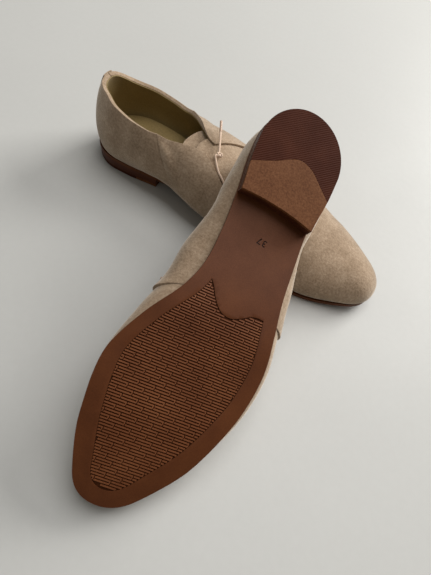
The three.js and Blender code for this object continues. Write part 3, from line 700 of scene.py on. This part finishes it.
@dataclass
class Bottom(Group):
    """The outsole with its tread, and the stacked heel."""

    tread_inset: float = 9.3
    tread_depth: float = 0.75
    tread_front: float = 253.0
    row_pitch: float = 3.3
    row_tilt: float = 0.13
    pin_pitch: float = 9.3
    pin_gap: float = 0.4
    bar_width: float = 1.06
    bar_least: float = 0.45
    bar_taper: float = 0.06
    row_clear: float = 0.2
    first_row: float = 118.0
    layer_sink: float = 0.12
    heel_rounding: float = 0.22
    numeral: str = "37"
    numeral_height: float = 4.4
    numeral_half_depth: float = 0.5
    numeral_drop: float = 0.12
    numeral_at: tuple[float, float] = (88.0, 10.5)
    tread_back: Profile = field(default_factory=lambda: through(
        [(0, 124), (0.1, 127.5), (0.24, 134), (0.4, 139.5), (0.55, 140.5), (0.68, 137), (0.78, 133.5), (0.88, 131.5),
         (1, 131)]))

    top_joint: Profile = field(default_factory=lambda: through(
        [(0, 50), (0.25, 42), (0.5, 32.5), (0.68, 33.5), (0.85, 40), (1, 46)]))

    def build(self) -> None:
        """Make every piece of the bottom."""
        self._outsole()
        self._bars()
        self._heel()

    def _tread_place(self, depth: float, u: float, v: float) -> Vector:
        """Return a place of the tread's patch at a depth in the sole."""
        x = x_of(mix(along_of(self.tread_back(v)), along_of(SHOE_LENGTH), u))
        place = plan_point(x, 2 * v - 1, self.tread_inset)
        place.z = sole_underside(place.x) + depth
        return place

    def _outsole(self) -> None:
        solid = slab(150, 20, (heel_end, toe_end), 0, lambda x: sole_underside(x) + OUTSOLE_THICKNESS,
                     sole_underside)
        outsole = self.piece(solid, "outsole", "sole_leather")

        recess = shell(70, 24, partial(self._tread_place, self.tread_depth), partial(self._tread_place, -1.0))
        # The faces of the recess take the dark finish that paints shade between the bars.
        self._carve(outsole, recess, "tread_floor")
        self._carve(outsole, self._numeral_block(), "mark")
        round_edges(outsole, 0.35)
        self.settle(outsole, "sole_leather", "outsole")

    def _carve(self, solid: bpy.types.Object, block: Sheet, inside: str) -> None:
        """Cut a block out of a solid; the faces of the cut take the finish named inside."""
        tool = self.piece(block, f"cut_{inside}", inside)
        change = solid.modifiers.new("cut", "BOOLEAN")
        change.operation = "DIFFERENCE"
        change.solver = "EXACT"
        change.material_mode = "TRANSFER"
        change.object = tool
        graph = bpy.context.evaluated_depsgraph_get()
        made = bpy.data.meshes.new_from_object(solid.evaluated_get(graph), depsgraph=graph)
        solid.modifiers.remove(change)
        old = solid.data
        solid.data = made
        made.name = old.name
        bpy.data.meshes.remove(old)
        bpy.data.objects.remove(tool)
        LOG.info("%s cut: %d faces", solid.name, len(made.polygons))

    def _numeral_block(self) -> Sheet:
        """Return the size numeral as a block that reaches 0.38 mm into the waist."""
        text = bpy.data.curves.new("numeral", "FONT")
        text.body = self.numeral
        text.size = self.numeral_height / 0.7
        text.align_x = text.align_y = "CENTER"
        text.extrude = self.numeral_half_depth
        text.resolution_u = 4
        text.offset = 0.05
        text.space_character = 1.12
        holder = add_object("numeral", text)
        graph = bpy.context.evaluated_depsgraph_get()
        data = bpy.data.meshes.new_from_object(holder.evaluated_get(graph))
        mesh = bmesh.new()
        mesh.from_mesh(data)
        bpy.data.objects.remove(holder)
        bpy.data.curves.remove(text)
        bpy.data.meshes.remove(data)
        turned = 1 if self.foot is Foot.LEFT else -1
        x, y = self.numeral_at
        slope = (sole_underside(x + 1) - sole_underside(x - 1)) / 2
        for vert in mesh.verts:
            right, up, deep = vert.co
            vert.co = Vector((x + up, y + right * turned, sole_underside(x) + slope * up - self.numeral_drop + deep))
        bmesh.ops.remove_doubles(mesh, verts=mesh.verts, dist=1e-4)
        bmesh.ops.recalc_face_normals(mesh, faces=mesh.faces)
        return mesh

    def _bars(self) -> None:
        """Lay rows of raised hairpins across the recess of the tread."""
        mesh = bmesh.new()
        row, x = 0, self.first_row
        while x < SHOE_LENGTH:
            self._row(mesh, x, row)
            row += 1
            x += self.row_pitch
        bars = self.piece(mesh, "tread_bars", "tread")
        LOG.info("%s tread rows: %d", self.foot.value, row)
        self.settle(bars, "sole_leather")

    def _tread_ends(self, x: float) -> list[float]:
        """Return how far to each side a row that crosses the middle line at x reaches, medial side first."""
        ends = []
        for side in Side:
            place, y = x, 0.0
            for _ in range(6):
                spread = (place - self.tread_inset) / (1 - 2 * self.tread_inset / SHOE_LENGTH)
                y = plan_point(min(SHOE_LENGTH, max(0.0, spread)), side.value, self.tread_inset).y
                place = x - self.row_tilt * y
            ends.append(y)
        return ends

    def _pins(self, row: int, right: float) -> Iterator[tuple[float, float]]:
        """Yield both ends of each hairpin of a row, from far left to its right end."""
        start = -12 * self.pin_pitch + (row % 2) / 2 * self.pin_pitch
        while start < right:
            yield start, start + self.pin_pitch - self.pin_gap
            start += self.pin_pitch

    def _row(self, mesh: Sheet, x: float, row: int) -> None:
        """Add one row of hairpins that crosses the middle line at x: two arms each, joined at one end."""
        for step in (-self.row_pitch / 4, self.row_pitch / 4):
            left, right = self._tread_ends(x + step)
            for start, end in self._pins(row, right):
                low, high = max(start, left + self.row_clear), min(end, right - self.row_clear)
                self._bar(mesh, x + step, low, high, self.bar_width)
        left, right = self._tread_ends(x)
        for _, end in self._pins(row, right):
            if left < end - 1 and end < right:
                self._bar(mesh, x, end - 0.62, end + 0.05, self.row_pitch / 2 + self.bar_width * 0.8)

    def _back_x(self, y: float, x: float) -> float:
        """Return how far back the tread reaches at a place across the sole."""
        reach = end_round(x) * (HALF_BREADTH(x) - self.tread_inset)
        across = (y - CENTRE_LINE(x)) / max(reach, 1e-3)
        return plan_point(self.tread_back(min(1, max(0, across / 2 + 0.5))), 0, self.tread_inset).x

    def _bar(self, mesh: Sheet, x: float, low: float, high: float, width: float) -> None:
        """Add one raised bar with sloping sides between two places across the sole."""
        steps = [mix(low, high, k / 20) for k in range(21)]
        steps = [y for y in steps if self._back_x(y, x - self.row_tilt * y) + width / 2 < x - self.row_tilt * y]
        beyond = x - self.row_tilt * (low + high) / 2 > self.tread_front
        if len(steps) < 2 or steps[-1] - steps[0] < self.bar_least or beyond:
            return
        low, high = steps[0], steps[-1]
        for vert in bmesh.ops.create_cube(mesh, size=1.0)["verts"]:
            top = vert.co.z < 0
            taper = self.bar_taper if top else 0
            y = mix(low + taper, high - taper, vert.co.y + 0.5)
            along = x - self.row_tilt * y + vert.co.x * width * (0.72 if top else 1.0)
            depth = 0.02 if top else self.tread_depth + 0.1
            vert.co = Vector((along, y, sole_underside(along) + depth))

    def _heel(self) -> None:
        """Make both lifts and the two parts of the top piece."""
        def breast(v: float) -> float:
            return HEEL_LENGTH - BREAST_HOLLOW * (1 - (2 * v - 1) ** 2)

        lower = TOP_PIECE_THICKNESS + GAP - self.layer_sink
        upper = TOP_PIECE_THICKNESS + GAP + LIFT_THICKNESS + GAP - self.layer_sink
        top_thick = TOP_PIECE_THICKNESS + self.layer_sink
        layers = (
            ("heel_lift_upper", upper, LIFT_THICKNESS + 3 * self.layer_sink, 0.3, (heel_end, breast),
             "heel_edge", "heel_leather"),
            ("heel_lift_lower", lower, LIFT_THICKNESS + 2 * self.layer_sink, 0.5, (heel_end, breast),
             "heel_edge", "heel_leather"),
            ("top_piece_rubber", 0.0, top_thick, 0.6, (heel_end, lambda v: self.top_joint(v) - self.layer_sink),
             "heel_rubber", "heel_rubber"),
            ("top_piece_leather", 0.0, top_thick, 0.6, (self.top_joint, breast), "heel_leather", "heel_leather"),
        )
        for name, level, thick, inset, span, finish, slot in layers:
            solid = slab(44, 22, span, inset, lambda x: level + thick, lambda x: level)
            piece = self.piece(solid, name, finish)
            round_edges(piece, self.heel_rounding)
            self.settle(piece, slot, name)


# ---- the upper of a shoe ----
@dataclass
class Upper(Group):
    """The suede panels, the linings, the sock and the tongue."""

    vamp_tuck: float = 9.0
    lining_clear: float = 0.04
    seam_lap: float = 2.0
    fold_height: float = 2.0
    fold_at: float = 0.1
    tongue_low: float = 0.62
    tongue_hollow: float = 5.0
    tongue_shoulder: float = 6.0
    tab_half_wide: float = 5.5
    tab_low: float = 0.55

    def build(self) -> None:
        """Make every piece of the upper."""
        for side in Side:
            self._side_panel("quarter", side, 44, 36, 0.7, self._quarter_place)
            self._side_panel("facing", side, 40, 44, 0.5, self._facing_place)
        self._vamp()
        self._linings()
        self._sock()
        tongue = shell(16, 32, partial(self._tongue_place, 0.0), partial(self._tongue_place, -UPPER_THICKNESS))
        self._panel("tongue", tongue, 0.45, body="tongue_flap")
        tab = shell(20, 24, partial(self._tab_place, 0.85), partial(self._tab_place, 0.02))
        self._panel("back_tab", tab, 0.35)

    def _panel(self, name: str, mesh: Sheet, edge: float, finish: str = "suede", body: str = "shoe") -> None:
        """Finish a panel, round its edges and tie it to its body."""
        piece = self.piece(mesh, name, finish, 50)
        if edge:
            round_edges(piece, edge, 3)
        self.settle(piece, finish, name, body=body)

    def _side_panel(self, name: str, side: Side, columns: int, rows: int, edge: float,
                    face: Callable[[Side, bool, float, float], Vector]) -> None:
        """Make a suede panel of one side from its outer and its inner face."""
        mesh = shell(columns, rows, partial(face, side, True), partial(face, side, False))
        self._panel(f"{name}_{side.name.lower()}", mesh, edge)

    def _quarter_place(self, side: Side, outer: bool, u: float, v: float) -> Vector:
        """Return a place of the quarter: u runs from the back seam forwards, v from the sole up."""
        along = mix(along_of(back_curve(0.02)), along_of(QUARTER_SEAM(v) + self.seam_lap), u)
        x = x_of(along)
        offset = upper_outside(x) if outer else LINING_THICKNESS + self.lining_clear
        return layer_point(side, along, v * top_rise(side, x), offset)

    def _facing_place(self, side: Side, outer: bool, u: float, v: float) -> Vector:
        """Return a place of the facing, which laps over the quarter with a fold at its back edge."""
        along = mix(along_of(QUARTER_SEAM(v)), along_of(FACING_FRONT[side](v)), u)
        x = x_of(along)
        lap = (UPPER_THICKNESS + 0.12) * ease(u, 0, 0.5) * mix(0.35, 1, ease(v, 0.0, 0.2))
        ridge = self.fold_height * math.exp(-((u - self.fold_at) / 0.1) ** 2)
        fold = ridge * ease(v, 0.2, 0.6) * (1 - ease(v, 0.74, 0.96))
        inside = mix(LINING_THICKNESS + self.lining_clear, upper_outside(x) + 0.08, ease(u, 0.35, 0.8))
        offset = upper_outside(x) + 0.3 + lap + fold if outer else inside
        return layer_point(side, along, v * top_rise(side, x), offset)

    def _sheet(self, columns: int, rows: int, outer: Profile, inner: Profile) -> Sheet:
        """Build a sheet over the forepart, from the medial to the lateral feather edge."""
        def place(offset: Profile, u: float, v: float) -> Vector:
            across = 2 * v - 1
            side, rise = side_of(across), 1 - abs(across)
            along = mix(along_of(self._vamp_back(side, rise)), 1, u)
            return layer_point(side, along, rise, offset(x_of(along)))
        return shell(columns, rows, partial(place, outer), partial(place, inner))

    def _vamp_back(self, side: Side, rise: float) -> float:
        """Return where the vamp begins, tucked under the facings."""
        return FACING_FRONT[side](rise / THROAT_RISE) - self.vamp_tuck

    def _vamp(self) -> None:
        mesh = self._sheet(64, 72, upper_outside, upper_inside)
        self._panel("vamp", mesh, 0.3)

    def _linings(self) -> None:
        mesh = self._sheet(40, 40, lambda x: LINING_THICKNESS, lambda x: 0.0)
        self._panel("vamp_lining", mesh, 0, "lining_leather")

        def place(offset: float, u: float, v: float) -> Vector:
            across = 2 * u - 1
            side = side_of(across)
            along = along_of(self._vamp_back(side, v * THROAT_RISE) - 0.1) * abs(across)
            return layer_point(side, along, v * 0.992 * top_rise(side, x_of(along)), offset)
        mesh = shell(90, 28, partial(place, LINING_THICKNESS), partial(place, 0.0))
        self._panel("quarter_lining", mesh, 0.3, "lining_leather")

    def _sock(self) -> None:
        def level(x: float) -> float:
            board = feather_height(x) + CORK_THICKNESS + GAP
            return board + BOARD_THICKNESS + GAP + (HEEL_PAD_THICKNESS + GAP) * (1 - ease(x, 58, 84))
        mesh = slab(90, 16, (heel_end, toe_end), LINING_INSET + 0.1, lambda x: level(x) + SOCK_THICKNESS, level)
        self._panel("sock_lining", mesh, 0.3, "lining_leather")

    def _tongue_place(self, extra: float, u: float, v: float) -> Vector:
        """Return a place of the tongue: u runs from its free back edge forwards, v across it."""
        across = 2 * v - 1
        back = THROAT_AT - 21 + self.tongue_hollow * across**2
        front = THROAT_AT - 4 - self.tongue_shoulder * across**2
        along = mix(along_of(back), along_of(front), u)
        return layer_point(side_of(across), along, mix(1, self.tongue_low, abs(across)), extra - LAYER_GAP)

    def _tab_place(self, extra: float, u: float, v: float) -> Vector:
        """Return a place of the strip over the back seam: u runs across it, v upwards."""
        across = 2 * u - 1
        along = along_of(back_curve(self.tab_half_wide)) * abs(across)
        side = side_of(across)
        x = x_of(along)
        rise = mix(self.tab_low, 1.003, v) * top_rise(side, x)
        return layer_point(side, along, rise, upper_outside(x) + extra)


# ---- the laces ----
@dataclass
class Lace(Group):
    """The knot at the throat and the two tails of one lace, each with its crimped end."""

    knot_at: float = THROAT_AT + 9
    knot_radius: float = 2.7
    aglet_length: float = 11.0
    aglet_diameter: float = 2.0
    root_depth: float = 0.6
    beside_facing: float = 3.4

    def on_vamp(self, side: Side, x: float, rise: float, above: float) -> Vector:
        """Return a point above the outer face of the vamp."""
        return layer_point(side, along_of(x), rise, upper_outside(x) + above)

    @property
    def knot(self) -> Vector:
        """The centre of the knot, in shoe millimetres."""
        return self.on_vamp(Side.MEDIAL, self.knot_at, 1, GAP + self.knot_radius)

    def build(self) -> None:
        """Make the knot, the tails and their ends."""
        self._knot()
        for side, route in self._routes().items():
            self._tail(side, route)

    def _routes(self) -> dict[Side, list[Vector]]:
        """Return the route of each tail in row millimetres."""
        clear = GAP + LACE_DIAMETER / 2
        if self.foot is Foot.LEFT:
            def beside(rise: float, above: float) -> Vector:
                x = FACING_FRONT[Side.MEDIAL](rise / THROAT_RISE) + self.beside_facing
                return self.on_vamp(Side.MEDIAL, x, rise, clear + above)
            medial = [self.knot + Vector((-1.4, -3.2, 0))]
            medial += [beside(rise, above) for rise, above in
                       ((0.82, 0.5), (0.76, 0.3), (0.7, 0.3), (0.62, 0.3), (0.54, 0.3), (0.47, 0.3))]
            lateral = [self.knot + Vector(step) for step in
                       ((-1.8, 2.6, 0.4), (-4.5, 7, 1.6), (-8, 13, 2.6), (-11, 18, 3))]
            return {Side.MEDIAL: [TO_ROW @ p for p in medial], Side.LATERAL: [TO_ROW @ p for p in lateral]}
        knot = SEAT[self.foot] @ self.knot
        return {
            Side.MEDIAL: self._hanging(knot, Vector((-2.2, 0, -3)), Vector((-7, -3, 0)), 0.9),
            Side.LATERAL: self._hanging(knot, Vector((2.2, 0, -3)), Vector((5, -7, 0)), 0.4),
        }

    def _hanging(self, knot: Vector, start: Vector, drift: Vector, run: float) -> list[Vector]:
        """Return the route of a tail that hangs from the knot and ends on the ground."""
        ground = self.aglet_diameter / 2 + GAP
        steps = ((0.25, knot.z - 9), (0.5, mix(ground, knot.z, 0.55)), (0.8, mix(ground, knot.z, 0.2)),
                 (1.5, ground + 1), (2.2, ground), (2.2 + run, ground))
        route = [knot + start]
        for part, height in steps:
            place = knot + drift * part
            route.append(Vector((place.x, place.y, height)))
        return route

    def _line(self, name: str, points: Sequence[Vector], diameter: float, finish: str,
              closed: bool = False) -> bpy.types.Object:
        """Make a round cord along points in row millimetres, named without its foot."""
        curve = bpy.data.curves.new(f"{self.named(name)}_look", "CURVE")
        curve.dimensions = "3D"
        curve.bevel_depth = diameter / 2 * MILLIMETRE
        curve.bevel_resolution = 4
        curve.use_fill_caps = True
        spline = curve.splines.new("POLY")
        spline.points.add(len(points) - 1)
        for corner, place in zip(spline.points, points):
            corner.co = (*(place * MILLIMETRE), 1)
        spline.use_cyclic_u = closed
        spline.use_smooth = True
        curve.materials.append(self.finishes[finish])
        return add_object(curve.name, curve)

    def _smooth(self, route: Sequence[Vector], pieces: int = 8) -> list[Vector]:
        """Return a smooth line through the points of a route."""
        points = []
        last = len(route) - 1
        for k in range(last):
            before, a, b, after = route[max(k - 1, 0)], route[k], route[k + 1], route[min(k + 2, last)]
            for step in range(pieces):
                t = step / pieces
                points.append(0.5 * (2 * a + (b - before) * t + (2 * before - 5 * a + 4 * b - after) * t * t
                                     + (3 * a - before - 3 * b + after) * t**3))
        points.append(route[last].copy())
        return points

    def _tail(self, side: Side, route: list[Vector]) -> None:
        """Make one tail, rooted inside the knot, and the crimped end it reaches into."""
        tail_name, aglet_name = f"lace_tail_{side.name.lower()}", f"aglet_{side.name.lower()}"
        way = (route[-1] - route[-2]).normalized()
        inside = route[-1] + way * (self.aglet_length - GAP)
        rooted = [route[0].lerp(SEAT[self.foot] @ self.knot, self.root_depth)] + route
        points = self._smooth(rooted) + [route[-1] + way * 4, inside]
        tail = self._line(tail_name, points, LACE_DIAMETER, "lace")
        sleeve = [route[-1] + way * GAP, route[-1] + way * (GAP + self.aglet_length)]
        aglet = self._line(aglet_name, sleeve, self.aglet_diameter, "aglet")
        self.settle(tail, "lace", tail_name)
        self.settle(aglet, "aglet", aglet_name)
        length = sum((b - a).length for a, b in zip(points, points[1:])) * MILLIMETRE
        LOG.info("%s length %.1f mm", tail.name, length / MILLIMETRE)

    def _knot(self) -> None:
        """Make the knot from one closed turn of the lace pulled tight."""
        centre, size, turns = self.knot, self.knot_radius / 4.4, 60
        points = []
        for k in range(turns):
            t = 2 * math.pi * k / turns
            points.append(SEAT[self.foot] @ (centre + size * Vector((
                math.sin(t) + 2 * math.sin(2 * t), math.cos(t) - 2 * math.cos(2 * t), -1.1 * math.sin(3 * t)))))
        knot = self._line("lace_knot", points, LACE_DIAMETER, "lace", closed=True)
        self.settle(knot, "lace", "lace_knot")


# ---- the setting ----
@dataclass(frozen=True)
class Viewpoint:
    """Where the camera stands, in shoe millimetres and degrees, and how it is turned."""

    azimuth: float = 17.667
    elevation: float = 59.58
    distance: float = 289.386
    target: tuple[float, float, float] = (168.02, -84.565, 30.028)
    roll: float = 17.911
    lens: float = 426.034 / 575 * 36

    def axes(self) -> Matrix:
        """Return the camera's right, up and backward directions as the columns of a matrix."""
        az, el, turn = (math.radians(value) for value in (self.azimuth, self.elevation, self.roll))
        back = Vector((math.sin(az) * math.cos(el), -math.cos(az) * math.cos(el), math.sin(el)))
        right = (-back).cross(Vector((0, 0, 1))).normalized()
        up = right.cross(-back)
        right, up = right * math.cos(turn) + up * math.sin(turn), up * math.cos(turn) - right * math.sin(turn)
        return Matrix((right, up, back)).transposed()

    def place(self) -> bpy.types.Object:
        """Make the camera and set it as the scene's own."""
        data = bpy.data.cameras.new("view")
        data.lens = self.lens
        data.clip_start = 0.01
        camera = add_object("view", data)
        axes = self.axes()
        target = TO_ROW @ Vector(self.target)
        camera.matrix_world = (Matrix.Translation((target + axes @ Vector((0, 0, self.distance))) * MILLIMETRE)
                               @ axes.to_4x4())
        bpy.context.scene.camera = camera
        return camera


@dataclass(frozen=True)
class Lamp:
    """A soft lamp, placed by steps along X, Y and Z from the middle of the pair, in metres."""

    name: str
    steps: tuple[float, float, float]
    size: float
    power: float
    colour: tuple[float, float, float] = (1.0, 1.0, 1.0)

    def place(self, target: Vector) -> None:
        """Make the lamp and point it at the target."""
        data = bpy.data.lights.new(self.name, "AREA")
        data.size = self.size
        data.energy = self.power
        data.color = self.colour
        lamp = add_object(self.name, data)
        spot = target + Vector(self.steps)
        lamp.location = spot
        lamp.rotation_euler = (target - spot).to_track_quat("-Z", "Y").to_euler()


@dataclass
class Studio:
    """The table top, the lamps and the light of the room."""

    finishes: Finishes
    viewpoint: Viewpoint = field(default_factory=Viewpoint)
    lamps: tuple[Lamp, ...] = (
        Lamp("window", (0.9, 2.1, 1.05), 1.4, 70, (1.0, 0.985, 0.955)),
        Lamp("ceiling", (0.1, 0.7, 2.0), 1.6, 27, (1.0, 0.99, 0.98)),
    )
    ambient: float = 0.2
    table_half: float = 3.0

    def build(self) -> None:
        """Make the floor, the lamps, the world and the camera."""
        mesh = bmesh.new()
        bmesh.ops.create_grid(mesh, x_segments=1, y_segments=1, size=self.table_half)
        data = bpy.data.meshes.new("table")
        mesh.to_mesh(data)
        mesh.free()
        data.materials.append(self.finishes["table"])
        add_object("table", data)
        target = (TO_ROW @ Vector(self.viewpoint.target)) * MILLIMETRE
        for lamp in self.lamps:
            lamp.place(target)
        world = bpy.data.worlds.new("room")
        bpy.context.scene.world = world
        world.use_nodes = True
        sky = world.node_tree.nodes["Background"]
        sky.inputs["Color"].default_value = (1.0, 0.97, 0.9, 1.0)
        sky.inputs["Strength"].default_value = self.ambient
        bpy.context.scene.view_settings.view_transform = "Standard"
        self.viewpoint.place()


HIDDEN_PIECES = {"insole_board": "board", "heel_counter": "board", "toe_puff": "board", "cork_filler": "cork",
                 "heel_pad": "felt", "shank": "steel", "heel_screw": "steel"}


@dataclass
class Pair:
    """Both shoes."""

    frame: dict
    finishes: Finishes

    def build(self) -> None:
        """Make both shoes and give every solid its finish."""
        for foot in Foot:
            for maker in (Bottom, Upper, Lace):
                maker(foot, self.finishes).build()
        for name, node in self.frame["nodes"].items():
            finish = HIDDEN_PIECES.get(name.split("_", 1)[1], "suede")
            node.data.materials.clear()
            node.data.materials.append(self.finishes[finish])


def main() -> None:
    """Build the whole scene."""
    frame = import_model()
    finishes = {key: finish.make() for key, finish in FINISHES.items()}
    Studio(finishes).build()
    Pair(frame, finishes).build()
    bpy.context.view_layer.update()


if __name__ == "__main__":
    main()
